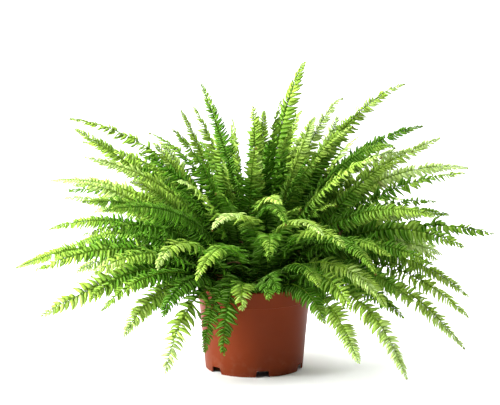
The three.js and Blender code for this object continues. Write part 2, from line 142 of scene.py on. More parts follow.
# These fronds share the crown of a neighbour.
SHARED_CROWN = [
    (-292, -40, 403, 78, 30, -8, 20),
    (-258, 20, 340, 74, -20, 12, 19),
    (-294, -60, 318, 70, -12, -10, 21),
    (-312, -10, 290, 66, 0, -6, 20),
    (-272, 90, 247, 66, -30, 8, 19),
    (-235, -210, 302, 70, -6, -12, 20),
    (-281, -120, 250, 62, -20, -10, 21),
    (-354, -100, 185, 54, -24, -10, 22),
    (-245, -160, 131, 48, -46, -10, 19),
    (-87, -40, 450, 84, 44, -10, 20),
    (-20, -30, 418, 87, 62, 8, 20),
    (146, 10, 451, 84, 6, 8, 20),
    (276, 60, 380, 76, 8, 8, 20),
    (228, -60, 379, 78, -50, -14, 20),
    (343, -50, 334, 68, 4, -8, 20),
    (286, -150, 282, 66, -14, -8, 21),
    (353, -50, 116, 48, -42, 6, 20),
    (208, -190, 143, 52, -52, -10, 19),
    (193, -200, 166, 56, -48, 10, 20),
    (-20, -190, 153, 54, -66, 10, 20),
    (68, -190, 154, 54, -60, 10, 20),
    (181, -250, 210, 60, -40, -10, 20),
    (196, -220, 250, 66, -34, 8, 20),
    (-89, -290, 209, 60, -50, -10, 20),
    (40, -290, 327, 74, -10, 10, 20),
    (104, -300, 281, 68, -30, 10, 20),
    (-120, -150, 345, 76, -6, 10, 20),
]

# Tiers that fill the heart and the far side: whether each has its own crown, how many, the
# bearings from and to, reach, height, launch slope, tip slope and half width.
TIERS = [
    (True, 7, 22, 158, 325, 150, 50, -34, 21),
    (True, 6, 20, 160, 295, 270, 64, -12, 20),
    (False, 5, 26, 154, 215, 375, 76, 6, 20),
    (True, 3, 40, 140, 120, 415, 83, 34, 20),
    (True, 3, -150, -30, 70, 385, 82, 20, 19),
    (False, 4, -165, -15, 160, 300, 76, -16, 19),
]

# Middling fronds that fill the mass between the seen tips. They share crowns too.
FILLING = [
    # top
    (30, 20, 455, 84, 40, 8, 21),
    (60, -30, 440, 84, 40, -8, 21),
    (100, 40, 450, 82, 36, 8, 21),
    (60, 160, 395, 76, 10, 8, 20),
    (180, 60, 420, 80, 24, -8, 21),
    (-38, 40, 404, 86, 50, 8, 21),
    (-20, -125, 392, 80, 12, 8, 20),
    (-62, 60, 402, 80, 30, -8, 21),
    (-110, 20, 400, 78, 20, 8, 21),
    (-150, 60, 375, 76, 10, 8, 21),
    (-190, -20, 362, 74, 6, -8, 21),
    (-200, 100, 330, 72, 0, 8, 21),
    # right
    (200, 80, 370, 76, 12, 8, 21),
    (235, -20, 350, 74, 4, -8, 21),
    (270, -30, 305, 72, -4, 8, 22),
    (260, 100, 300, 70, -8, -8, 21),
    (300, 10, 258, 66, -12, 8, 22),
    (305, -70, 205, 58, -24, -8, 22),
    (285, 50, 190, 56, -30, 8, 22),
    (275, -130, 160, 54, -34, 8, 21),
    (225, -140, 125, 52, -44, -8, 21),
    (112, -165, 112, 56, -62, 8, 21),
    (150, -215, 150, 56, -50, -8, 21),
    # left
    (-290, -60, 150, 50, -30, 8, 22),
    (-265, 60, 140, 50, -34, -8, 22),
    (-160, -160, 110, 52, -50, 8, 22),
    (-215, -60, 235, 62, -20, -8, 21),
    # more, all over
    (40, -60, 462, 85, 46, 10, 20),
    (18, 70, 426, 84, 36, -8, 20),
    (110, 170, 405, 78, 14, -8, 20),
    (222, -90, 362, 74, 8, 8, 20),
    (262, 20, 338, 72, 0, -8, 20),
    (318, -10, 216, 58, -20, 8, 25),
    (332, 60, 246, 62, -12, -8, 22),
    (290, -100, 194, 56, -28, 8, 21),
    (-262, -130, 142, 50, -36, 8, 22),
    (-160, -125, 106, 54, -46, -8, 20),
    (-205, -80, 322, 70, -4, 8, 20),
    (-216, 40, 272, 66, -14, 8, 20),
    (-60, 185, 150, 50, -50, 8, 20),
    # low behind
    (-130, 165, 110, 48, -56, 8, 20),
]
SHARERS = 2  # fronds that a crown may hold besides its own
WIDER = 1.08  # width of the tiers against their depth
FACING = 24  # least roll, in degrees, that turns a blade's face to the viewer

# Moves that bring a solid clear of the others: turn in degrees, lift in millimetres, steeper launch
TURNS = (0, 2, -2, 4, -4, 6, -6, 9, -9, 12, -12, 16, -16)
LIFTS = (0, 7, -7, 14, -14, 22, -22)
STEEPER = (0, 5, -5, 10, -10)
STEEPEST = 88
TIP_MATCH = 0.01  # how far a corner may lie from its place at the tip, in millimetres
BLADE_MATCH = 0.03  # and where the leaflets start

# Curves
STEPS = 48
LEAST_BEND = 0.15
MOST_BEND = 7
HALVINGS = 30

# Random series. A frond has its own number, and the others start from these.
SEED = 20011
SERIES_GAP = 7919
TIER_SERIES = 200
LEAFLET_SERIES = 500
CRUMB_SERIES = 900
MULTIPLIER = 1664525
INCREMENT = 1013904223
MODULUS = 2 ** 32

# Leaflets. A form has length 1, and its droop and wave are shares of that.
FORM_BENDS = ((0.02, 0.015), (0.12, 0.03), (0.22, 0.02), (0.06, 0.05), (0.34, 0.03), (-0.08, 0.04))
LEAFLET_HALF = 0.15
LEAFLET_THICKNESS = 0.025
LENGTHEN = 1.22  # leaflets of the picture against those of the solids, which are wedges
LOWEST = 0.08  # part of the stem where the first leaflets stand
USUAL_WIDTH = 21  # half width of a frond whose leaflets have the spacing of the settings
BREADTH = 0.62  # half width of a leaflet against the spacing
LEAST_PAIRS = 12
MISSING = 0.02  # share of the leaflets that have dropped

# Round stems and coiled tips, in millimetres
ROOT_DEPTH = 9
ROOT_RADIUS = 2.1
CROWN_RADIUS = 1.9
STEM_SIDES = 6
COIL_STEPS = 12
COIL_TURN = 2.6 * math.pi
COIL_RADIUS = 2.2
COIL_THICKNESS = 0.5
COIL_TONE = 0.06  # place on a stem whose brown the coils have

# Place between the crowns, in metres, around which the leaves are painted darker as shade of the
# dense foliage, and from which they get paler outwards
HEART = (0, 0, 0.15)

# Brightness of the studio by direction, which runs from -1 at the viewer to 1 behind the plant
DIM_SIDE = -0.7
BRIGHT_SIDE = 0.6
FRONT_LIGHT = 0.07
BACK_LIGHT = 0.6

# Stage, in metres and degrees
FLOOR_RADIUS = 16
LIT_POINT = (0, 0, 0.24)
CAMERA_PLACE = (-0.007, -3.5, 0.885)
CAMERA_DOWN = 9.83
CAMERA_LENS = 154


def series_of(number):
    """Draws between 0 and 1, a series of its own for each number."""
    state = SEED + SERIES_GAP * number

    def draw():
        nonlocal state
        state = (state * MULTIPLIER + INCREMENT) % MODULUS
        return state / MODULUS

    return draw


def spread(draw, width):
    """A draw around 0, over that width."""
    return width * (draw() - 0.5)


class Frond:
    """One frond: the numbers it grows from, and the crown and spine that are found for it."""

    def __init__(self, row, own, near):
        self.tip = row[:3]
        self.launch, self.end, self.sway, self.width = row[3:]
        self.own = own
        self.near = near
        self.base = None
        self.spine = None

    def vary(self, number):
        """Draws the roll and droop of its blade, in degrees, and its tone, stir and curl."""
        draw = series_of(number)
        bearing = math.atan2(self.tip[1], self.tip[0])
        face = FACING + 34 * draw() + 0.5 * max(0, self.end)
        wander = draw() - 0.5
        self.roll = face * math.cos(bearing) + 24 * wander if self.near else 70 * wander
        self.droop = 8 + 14 * draw()
        self.tone = draw()
        self.lively = draw()
        self.curl = draw()

    def find_limits(self):
        """Lists each launch slope with the lowest and highest chord that it can reach."""
        self.limits = []
        for steeper in STEEPER:
            launch = min(self.launch + steeper, STEEPEST)
            angles = [chord_angle(launch, self, bend) for bend in (MOST_BEND, LEAST_BEND)]
            self.limits.append((launch, *angles))


def list_fronds():
    """All fronds of the tables and tiers, in the order of their numbers."""
    fronds = [Frond(row, True, True) for row in OWN_CROWN]
    fronds += [Frond(row, False, True) for row in SHARED_CROWN]
    for own, count, start, stop, reach, height, launch, end, width in TIERS:
        for i in range(count):
            draw = series_of(len(fronds) + TIER_SERIES)
            share = (i + 0.5) / count
            bearing = (start + (stop - start) * share + spread(draw, 10)) * DEG
            far = reach * (1 + spread(draw, 0.1))
            x = WIDER * far * math.cos(bearing)
            y = far * math.sin(bearing)
            z = height + spread(draw, 50)
            slope = end + spread(draw, 16)
            sway = spread(draw, 24)
            fronds.append(Frond((x, y, z, launch, slope, sway, width), own, start < 0))
    fronds += [Frond(row, False, True) for row in FILLING]
    for number, frond in enumerate(fronds):
        frond.vary(number)
        frond.find_limits()
    return fronds


def place_crowns(grown):
    """Crowns on rings, those of the fronds that lean most outermost."""
    order = sorted(grown, key=lambda frond: frond.launch)
    first = 0
    for radius, count in RINGS:
        group = order[first:first + count]
        first += count
        angles = sorted((math.atan2(f.tip[1], f.tip[0]), i) for i, f in enumerate(group))
        ordered = [group[i] for _, i in angles]
        bearing = [angle for angle, _ in angles]
        gap = 2 * math.pi / len(group) * LEAST_GAP
        for _ in range(SPACINGS):
            for i in range(len(group)):
                after = (i + 1) % len(group)
                wrap = 2 * math.pi if i + 1 == len(group) else 0
                short = gap - (bearing[after] + wrap - bearing[i])
                if short > 0:
                    bearing[i] -= short / 2
                    bearing[after] += short / 2
        for frond, angle in zip(ordered, bearing):
            frond.base = (radius * math.cos(angle), radius * math.sin(angle))


def unit_spine(launch, end, bend, sway):
    """Places, slopes and bearings along a frond of length 1 with bearing 0."""
    slopes = []
    bearings = []
    for i in range(STEPS + 1):
        s = i / STEPS
        slopes.append((end + (launch - end) * (1 - s) ** bend) * DEG)
        bearings.append(sway * (2 * s - 1) * DEG)
    places = [(0.0, 0.0, 0.0)]
    x = y = z = 0.0
    for i in range(STEPS):
        slope = (slopes[i] + slopes[i + 1]) / 2
        bearing = (bearings[i] + bearings[i + 1]) / 2
        x += math.cos(slope) * math.cos(bearing) / STEPS
        y += math.cos(slope) * math.sin(bearing) / STEPS
        z += math.sin(slope) / STEPS
        places.append((x, y, z))
    return places, slopes, bearings


class Spine:
    """The curve of a frond from its crown to its tip."""

    def __init__(self, frond, tip, launch):
        bx, by = frond.base
        dx = tip[0] - bx
        dy = tip[1] - by
        dz = tip[2] - SOIL_TOP - COLLAR_OF_STEM
        reach = math.hypot(dx, dy)
        wanted = math.atan2(dz, reach)
        low = math.log(LEAST_BEND)
        high = math.log(MOST_BEND)
        for _ in range(HALVINGS):
            middle = (low + high) / 2
            x, y, z = unit_spine(launch, frond.end, math.exp(middle), frond.sway)[0][-1]
            if math.atan2(z, math.hypot(x, y)) > wanted:
                low = middle
            else:
                high = middle
        bend = math.exp((low + high) / 2)
        places, self.slopes, bearings = unit_spine(launch, frond.end, bend, frond.sway)
        x, y, z = places[-1]
        self.length = math.hypot(reach, dz) / math.sqrt(x * x + y * y + z * z)
        turn = math.atan2(dy, dx) - math.atan2(y, x)
        cosine = math.cos(turn)
        sine = math.sin(turn)
        self.places = [
            Vector((
                bx + self.length * (cosine * px - sine * py),
                by + self.length * (sine * px + cosine * py),
                SOIL_TOP + COLLAR_OF_STEM + self.length * pz,
            ))
            for px, py, pz in places
        ]
        self.bearings = [bearing + turn for bearing in bearings]
        self.roll = frond.roll * DEG

    def at(self, s):
        """Place, forward, left and up at part s of the length."""
        at = min(max(s, 0), 1) * STEPS
        i = min(int(at), STEPS - 1)
        part = at - i
        place = self.places[i].lerp(self.places[i + 1], part)
        slope = self.slopes[i] + (self.slopes[i + 1] - self.slopes[i]) * part
        bearing = self.bearings[i] + (self.bearings[i + 1] - self.bearings[i]) * part
        forward = Vector((
            math.cos(slope) * math.cos(bearing),
            math.cos(slope) * math.sin(bearing),
            math.sin(slope),
        ))
        left = Vector((-math.sin(bearing), math.cos(bearing), 0))
        left.rotate(Matrix.Rotation(self.roll * min(1, s / ROLLED), 3, forward))
        return place, forward, left, forward.cross(left)


def corner_tree(node):
    """The corners of a CAD node, in millimetres, for finding the nearest one."""
    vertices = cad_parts[node].data.vertices
    tree = KDTree(len(vertices))
    for i, vertex in enumerate(vertices):
        tree.insert(vertex.co / MM, i)
    tree.balance()
    return tree


def chord_angle(launch, frond, bend):
    """Slope of the straight line from crown to tip, for a frond of that bend."""
    x, y, z = unit_spine(launch, frond.end, bend, frond.sway)[0][-1]
    return math.atan2(z, math.hypot(x, y))


def find_spine(frond, crown, tree):
    """The spine whose tip and first leaflets lie on corners of the crown's node, or None."""
    bx, by = crown.base
    dx = frond.tip[0] - bx
    dy = frond.tip[1] - by
    half = STEM_HALF - THINNER_LEAFY - (0 if frond.own else THINNER_SHARED)
    corner = TIP_HALF * math.sqrt(2)
    for lift in LIFTS:
        rise = frond.tip[2] + lift - SOIL_TOP - COLLAR_OF_STEM
        chord = math.hypot(dx, dy, rise)
        wanted = math.atan2(rise, math.hypot(dx, dy))
        reached = {}
        for launch, lowest, highest in frond.limits:
            reached.setdefault(min(max(wanted, lowest), highest), []).append(launch)
        for turn in TURNS:
            bearing = math.atan2(dy, dx) + turn * DEG
            for angle, launches in reached.items():
                level = chord * math.cos(angle)
                end = Vector((
                    bx + level * math.cos(bearing),
                    by + level * math.sin(bearing),
                    SOIL_TOP + COLLAR_OF_STEM + chord * math.sin(angle),
                ))
                if abs(tree.find(end)[2] - corner) > TIP_MATCH:
                    continue
                frond.base = crown.base
                flat = math.hypot(dx, dy)
                tip = (
                    bx + flat * math.cos(bearing),
                    by + flat * math.sin(bearing),
                    frond.tip[2] + lift,
                )
                for launch in launches:
                    spine = Spine(frond, tip, launch)
                    place, _, left, up = spine.at(BARE)
                    if tree.find(place + left * half + up * half)[2] < BLADE_MATCH:
                        return spine
    return None


def find_fronds():
    """Every frond with its spine, by the node that it stands for."""
    fronds = list_fronds()
    grown = [frond for frond in fronds if frond.own]
    place_crowns(grown)
    trees = []
    crowns = {}
    for i, frond in enumerate(grown):
        node = "frond_%02d" % (i + 1)
        tree = corner_tree(node)
        trees.append((frond, node, tree))
        frond.spine = find_spine(frond, frond, tree)
        crowns[node] = [frond]
    for frond in fronds:
        if frond.own:
            continue
        for crown, node, tree in trees:
            if len(crowns[node]) > SHARERS:
                continue
            frond.spine = find_spine(frond, crown, tree)
            if frond.spine:
                crowns[node].append(frond)
                break
    lost = [frond.tip for frond in fronds if not frond.spine]
    if lost:
        raise RuntimeError("no solid matches the fronds with tips at %s" % lost)
    return fronds, crowns


class Wire:
    """A shader socket that takes part in Python arithmetic."""

    def __init__(self, shader, socket):
        self.shader = shader
        self.socket = socket

    def maths(self, operation, *values):
        node = self.shader.node("ShaderNodeMath", {"operation": operation}, *values)
        return Wire(self.shader, node.outputs[0])

    def __add__(self, other):
        return self.maths("ADD", self, other)

    __radd__ = __add__

    def __mul__(self, other):
        return self.maths("MULTIPLY", self, other)

    __rmul__ = __mul__

    def __sub__(self, other):
        return self.maths("SUBTRACT", self, other)

    def __rsub__(self, other):
        return self.maths("SUBTRACT", other, self)

    def __abs__(self):
        return self.maths("ABSOLUTE", self)

    def clamped(self):
        return self.maths("MINIMUM", self.maths("MAXIMUM", self, 0), 1)

    def step(self, low, high):
        """0 up to low, 1 from high on, smooth between."""
        node = self.shader.node(
            "ShaderNodeMapRange",
            {"interpolation_type": "SMOOTHSTEP"},
            self, low, high, 0, 1,
        )
        return Wire(self.shader, node.outputs[0])


class Shader:
    """A material's node tree, built by method calls."""

    def __init__(self, name, roughness=0.5, **constants):
        self.material = bpy.data.materials.new(name)
        self.material.use_nodes = True
        self.tree = self.material.node_tree
        self.tree.nodes.clear()
        output = self.tree.nodes.new("ShaderNodeOutputMaterial")
        self.surface = self.tree.nodes.new("ShaderNodeBsdfPrincipled")
        self.tree.links.new(self.surface.outputs[0], output.inputs[0])
        self.surface.inputs["Roughness"].default_value = roughness
        for socket, value in constants.items():
            self.surface.inputs[socket.replace("_", " ")].default_value = value

    def set(self, socket, value):
        """Gives a socket a link or a value."""
        if isinstance(value, Wire):
            self.tree.links.new(value.socket, socket)
        else:
            socket.default_value = value

    def node(self, kind, settings=None, *values, **named):
        """A node: its settings first, then its sockets in order and by name."""
        made = self.tree.nodes.new(kind)
        for key, value in (settings or {}).items():
            setattr(made, key, value)
        for socket, value in zip(made.inputs, values):
            self.set(socket, value)
        for key, value in named.items():
            self.set(made.inputs[key.replace("_", " ")], value)
        return made

    def coordinates(self):
        return Wire(self, self.node("ShaderNodeTexCoord").outputs["Object"])

    def attribute(self, name):
        return self.node("ShaderNodeAttribute", {"attribute_name": name})

    def split(self, wire):
        made = self.node("ShaderNodeSeparateXYZ", None, wire)
        return [Wire(self, made.outputs[i]) for i in range(3)]

    def distance(self, point):
        """Distance in metres from a point of the piece."""
        made = self.node(
            "ShaderNodeVectorMath", {"operation": "DISTANCE"}, self.coordinates(), point
        )
        return Wire(self, made.outputs["Value"])

    def noise(self, scale, detail=3, roughness=0.55):
        made = self.node(
            "ShaderNodeTexNoise",
            None,
            Vector=self.coordinates(),
            Scale=scale,
            Detail=detail,
            Roughness=roughness,
        )
        return Wire(self, made.outputs[0])

    def mix(self, factor, first, second):
        made = self.node("ShaderNodeMix", {"data_type": "RGBA"})
        self.set(made.inputs[0], factor)
        for socket, value in ((made.inputs[6], first), (made.inputs[7], second)):
            self.set(socket, value if isinstance(value, Wire) else (*value, 1))
        return Wire(self, made.outputs[2])

    def ramp(self, factor, stops):
        made = self.node("ShaderNodeValToRGB", None, factor)
        elements = made.color_ramp.elements
        while len(elements) < len(stops):
            elements.new(1)
        for element, (position, colour) in zip(elements, stops):
            element.position = position
            element.color = (*colour, 1)
        return Wire(self, made.outputs[0])

    def bump(self, height, strength, distance):
        made = self.node(
            "ShaderNodeBump", None, Strength=strength, Distance=distance, Height=height
        )
        self.set(self.surface.inputs["Normal"], Wire(self, made.outputs[0]))

    def feed(self, **sockets):
        for key, value in sockets.items():
            self.set(self.surface.inputs[key.replace("_", " ")], value)


def leaf_material(deep, middle, fresh):
    """Leaflets: tone by age and place on the frond, with painted shade at the frond bases and in the
    heart, pale tips whitened as painted highlight, pale midrib, forked veins, paler underside.
    """
    shader = Shader("Fern leaflet", Specular_IOR_Level=0.0)
    growth = shader.attribute("growth")
    along, chance, tone = shader.split(Wire(shader, growth.outputs["Color"]))
    under = Wire(shader, growth.outputs["Alpha"])
    blade = shader.attribute("leaf")
    u, v, _ = shader.split(Wire(shader, blade.outputs["Vector"]))
    across = abs(v - 0.5) * 2
    patches = shader.noise(22, 3)
    mottle = shader.noise(420, 2)
    # Painted shade: the leaflets get darker towards the frond bases and the heart of the plant, where
    # the foliage shades them; part of this is the darker green of older leaflets.
    out_of_heart_shade = shader.distance(HEART).step(0.09, 0.31)
    age_and_shade = tone * 0.6 + along * 0.47 + out_of_heart_shade * 0.35
    age_and_shade = age_and_shade + (chance - 0.5) * 0.16 + (patches - 0.5) * 0.5 - 0.33
    # The pale colour of the young tips is whitened so it also serves as a painted highlight; the
    # midrib is mixed towards it too.
    pale = tuple(min(1, 1.2 * c + 0.23) for c in fresh)
    colour = shader.ramp(age_and_shade.clamped(), [(0.0, deep), (0.4, middle), (0.76, fresh), (1.0, pale)])
    colour = shader.mix((mottle - 0.35) * 0.5, colour, middle)
    rib = 1 - across.step(0.05, 0.22)
    colour = shader.mix(rib * 0.25, colour, pale)
    underside_green = (0.12, 0.32, 0.02)
    colour = shader.mix(under * 0.3, colour, underside_green)
    edge = across.step(0.86, 1.0) * u.step(0.1, 0.4)
    yellowed_edge = (0.3, 0.34, 0.05)
    colour = shader.mix(edge * 0.15, colour, yellowed_edge)
    dry = chance.step(0.994, 0.996) * (1 - along.step(0.5, 0.7))
    dry_brown = (0.11, 0.075, 0.03)
    colour = shader.mix(dry, colour, dry_brown)
    veins = u.maths("SINE", u * 88 - across * 13)
    relief = veins * 0.25 - rib * 1.2 + mottle * 0.3
    shader.feed(Base_Color=colour, Roughness=0.48 + (patches - 0.5) * 0.2 + under * 0.2)
    shader.bump(relief, 0.3, 0.0001)
    return shader.material


def stem_material():
    """Stems: scaly brown at the crown, green higher up, with a fine grain."""
    shader = Shader("Fern stem", Specular_IOR_Level=0.0)
    along, _, tone = shader.split(Wire(shader, shader.attribute("growth").outputs["Color"]))
    scales = shader.noise(600, 3)
    brown = shader.mix(scales, (0.06, 0.028, 0.01), (0.2, 0.11, 0.04))
    green = shader.mix(tone, (0.03, 0.1, 0.006), (0.16, 0.29, 0.02))
    reach = (along + (scales - 0.5) * 0.08).step(0.03, 0.2)
    shader.feed(Base_Color=shader.mix(reach, brown, green), Roughness=0.75 - reach * 0.3)
    shader.bump(scales, 0.5, 0.0003)
    return shader.material


def pot_material(colour):
    """Moulded terracotta-coloured plastic: satin, cloudy, with faint dust near the foot."""
    shader = Shader("Pot plastic", Specular_IOR_Level=0.05)
    cloud = shader.noise(9, 4)
    grain = shader.noise(900, 2)
    _, _, z = shader.split(shader.coordinates())
    dark = tuple(0.8 * c for c in colour)
    light = tuple(min(1, 1.14 * c + 0.01) for c in colour)
    base = shader.mix(cloud, dark, light)
    dust = (1 - z.step(0.0, 0.05)) * (shader.noise(60, 4).step(0.45, 0.75))
    pale_dust = (0.45, 0.33, 0.25)
    base = shader.mix(dust * 0.1, base, pale_dust)
    shader.feed(Base_Color=base, Roughness=0.42 + (cloud - 0.5) * 0.14 + dust * 0.2)
    shader.bump(grain * 0.6 + cloud, 0.12, 0.0004)
    return shader.material


def compost_material():
    """Dark peaty compost: fibrous lumps with a few pale grains."""
    shader = Shader("Compost", Specular_IOR_Level=0.15)
    lumps = shader.noise(130, 5, 0.7)
    grains = shader.noise(700, 2)
    base = shader.mix(lumps, (0.008, 0.005, 0.003), (0.06, 0.035, 0.02))
    pale_grain = (0.2, 0.14, 0.09)
    base = shader.mix(grains.step(0.66, 0.74) * 0.5, base, pale_grain)
    shader.feed(Base_Color=base, Roughness=0.95)
    shader.bump(lumps + grains * 0.5, 0.8, 0.0015)
    return shader.material


def floor_material():
    """A pale floor with a faint glow that softens the shadow, white far off where the backdrop is."""
    shader = Shader("Pale floor", roughness=0.9, Emission_Strength=1)
    distance = shader.distance((0, 0, 0))
    glow = distance.step(0.09, 0.18) * 0.14 + distance.step(2.2, 5) * 0.86
    shader.feed(
        Base_Color=shader.mix(shader.noise(0.8, 2), (0.906, 0.906, 0.906), (0.92, 0.92, 0.92)),
        Emission_Color=shader.mix(glow, (0, 0, 0), (1, 1, 1)),
    )
    return shader.material


def studio_world(world):
    """A studio that lights more from behind the plant, in front of a backdrop that is all white."""
    world.use_nodes = True
    tree = world.node_tree
    tree.nodes.clear()
    output = tree.nodes.new("ShaderNodeOutputWorld")
    background = tree.nodes.new("ShaderNodeBackground")
    direction = tree.nodes.new("ShaderNodeTexCoord")
    ray = tree.nodes.new("ShaderNodeLightPath")
    seen = tree.nodes.new("ShaderNodeMath")
    seen.operation = "MAXIMUM"
    parts = tree.nodes.new("ShaderNodeSeparateXYZ")
    light = tree.nodes.new("ShaderNodeMapRange")
    light.interpolation_type = "SMOOTHSTEP"
    limits = (DIM_SIDE, BRIGHT_SIDE, FRONT_LIGHT, BACK_LIGHT)
    for socket, value in zip(light.inputs[1:], limits):
        socket.default_value = value
    tree.links.new(direction.outputs["Generated"], parts.inputs[0])
    tree.links.new(parts.outputs["Y"], light.inputs[0])
    tree.links.new(light.outputs[0], seen.inputs[0])
    tree.links.new(ray.outputs["Is Camera Ray"], seen.inputs[1])
    tree.links.new(seen.outputs[0], background.inputs["Strength"])
    tree.links.new(background.outputs[0], output.inputs[0])
    background.inputs["Color"].default_value = (1, 1, 1, 1)


def finished(bm, name, materials, sharp=None):
    """Writes a bmesh in millimetres to a new object at the origin, in metres."""
    bmesh.ops.scale(bm, vec=(MM, MM, MM), verts=bm.verts)
    mesh = bpy.data.meshes.new(name)
    bm.to_mesh(mesh)
    bm.free()
    mesh.shade_smooth()
    if sharp:
        mesh.set_sharp_from_angle(angle=sharp * DEG)
    for material in materials:
        mesh.materials.append(material)
    piece = bpy.data.objects.new(name, mesh)
    bpy.context.scene.collection.objects.link(piece)
    return piece


def spun(profile, steps):
    """A closed body turned from a profile of (radius, height) that starts and ends on the axis."""
    bm = bmesh.new()
    verts = [bm.verts.new((r, 0, z)) for r, z in profile]
    edges = [bm.edges.new(pair) for pair in zip(verts, verts[1:])]
    bmesh.ops.spin(
        bm,
        geom=verts + edges,
        cent=(0, 0, 0),
        axis=(0, 0, 1),
        dvec=(0, 0, 0),
        angle=2 * math.pi,
        steps=steps,
        use_merge=True,
        use_duplicate=False,
    )
    bmesh.ops.remove_doubles(bm, verts=bm.verts, dist=0.001)
    bmesh.ops.recalc_face_normals(bm, faces=bm.faces)
    return bm


def leaflet_form(droop, wave, phase, mirrored):
    """One closed leaflet, base at the origin, running along X with the frond's tip towards Y."""
    bm = bmesh.new()
    bmesh.ops.create_grid(bm, x_segments=7, y_segments=2, size=1)
    uvs = bm.loops.layers.uv.new("leaf")
    growth = bm.verts.layers.float_color.new("growth")
    for face in bm.faces:
        for loop in face.loops:
            x, y, _ = loop.vert.co
            loop[uvs].uv = ((x + 1) / 2, (y + 1) / 2)
    for vert in bm.verts:
        u = (vert.co.x + 1) / 2
        v = vert.co.y
        base = 0.72 + 0.28 * min(1, u / 0.25)
        point = (1 - u ** 2.2) ** 0.75
        half = LEAFLET_HALF * base * point
        ear = 0.09 * max(0, 1 - u / 0.2) * max(0, v)
        hook = 0.2 * u ** 2.2
        arch = 0.1 * math.sin(math.pi * u) - droop * u * u - 0.5 * half * v * v
        ripple = wave * v * math.sin(8 * u + phase)
        vert.co = (u, half * v + ear + hook, arch + ripple)
    inner = {vert for vert in bm.verts if not vert.is_boundary}
    copied = bmesh.ops.duplicate(bm, geom=bm.faces[:] + bm.edges[:] + bm.verts[:])
    faces = [item for item in copied["geom"] if isinstance(item, bmesh.types.BMFace)]
    bmesh.ops.reverse_faces(bm, faces=faces)
    for vert in inner:
        twin = copied["vert_map"][vert]
        twin.co.z -= LEAFLET_THICKNESS
        twin[growth] = (0, 0, 0, 1)
    bmesh.ops.remove_doubles(bm, verts=bm.verts, dist=1e-5)
    if mirrored:
        bmesh.ops.reverse_faces(bm, faces=bm.faces[:])
    mesh = bpy.data.meshes.new("Leaflet form")
    bm.to_mesh(mesh)
    bm.free()
    return mesh


def leaflet_forms():
    """Straight and mirrored forms, from flat to drooping and from even to waved."""
    return [
        [leaflet_form(droop, wave, 1.7 * i, mirrored) for mirrored in (False, True)]
        for i, (droop, wave) in enumerate(FORM_BENDS)
    ]


def place_forms(bm, forms):
    """Puts the leaflet forms in the bmesh that copies them, and lists the geometry of each."""
    listed = []
    for pair in forms:
        both = []
        for form in pair:
            counts = (len(bm.verts), len(bm.edges), len(bm.faces))
            bm.from_mesh(form)
            parts = []
            for elements, count in zip((bm.verts, bm.edges, bm.faces), counts):
                elements.ensure_lookup_table()
                parts += elements[count:]
            both.append(parts)
        listed.append(both)
    return listed


def leaflet_share(t):
    """Length of the leaflets along the leafy part, as a share of the longest."""
    rise = min(1, 0.5 + 2.2 * t)
    fall = (1 - t ** 3.4) ** 0.8
    return 0.1 + 0.9 * rise * fall


def coil(spine):
    """Sections of the coil in which a young frond ends, from its tip on."""
    tip, forward, left, up = spine.at(1)
    sections = []
    for i in range(1, COIL_STEPS + 1):
        part = i / COIL_STEPS
        angle = COIL_TURN * part
        wide = COIL_RADIUS * (1 - 0.6 * part)
        outward = up * math.cos(angle) + forward * math.sin(angle)
        place = tip - up * COIL_RADIUS + outward * wide
        radius = COIL_THICKNESS * (1 + 0.5 * part)
        sections.append((place, radius, COIL_TONE, left, outward))
    return sections


def stem(bm, frond, growth, coiled):
    """A tapering six-sided stem from below the compost to the frond's tip or its coil."""
    spine = frond.spine
    _, _, left, _ = spine.at(0)
    level = Vector((0, 0, 1)).cross(left)
    sections = [
        (Vector((*frond.base, SOIL_TOP - ROOT_DEPTH)), ROOT_RADIUS, 0, left, level),
        (Vector((*frond.base, SOIL_TOP + 1)), CROWN_RADIUS, 0, left, level),
    ]
    for i in range(1, STEPS + 1):
        s = i / STEPS
        swelling = 0.5 * max(0, 1 - s / 0.08)
        radius = 0.35 + 0.95 * (1 - s) ** 1.2 + swelling
        place, _, left, up = spine.at(s)
        sections.append((place, radius, s, left, up))
    if coiled:
        sections += coil(spine)
    ring = bmesh.ops.create_circle(bm, cap_ends=True, segments=STEM_SIDES, radius=1)["verts"]
    edges = {edge for vert in ring for edge in vert.link_edges}
    for number, (place, radius, s, left, up) in enumerate(sections):
        if number:
            made = bmesh.ops.extrude_edge_only(bm, edges=list(edges))["geom"]
            ring = [item for item in made if isinstance(item, bmesh.types.BMVert)]
            edges = {
                item
                for item in made
                if isinstance(item, bmesh.types.BMEdge) and all(v in ring for v in item.verts)
            }
        for k, vert in enumerate(order_ring(ring)):
            angle = k * 2 * math.pi / STEM_SIDES
            vert.co = place + left * radius * math.cos(angle) + up * radius * math.sin(angle)
            vert[growth] = (s, 0.5, frond.tone, 0)
    bmesh.ops.contextual_create(bm, geom=list(edges))


def order_ring(ring):
    """The ring's corners one after another along its edges."""
    ordered = [ring[0]]
    inside = set(ring)
    while len(ordered) < len(ring):
        for edge in ordered[-1].link_edges:
            other = edge.other_vert(ordered[-1])
            if other in inside and other not in ordered:
                ordered.append(other)
                break
    return ordered


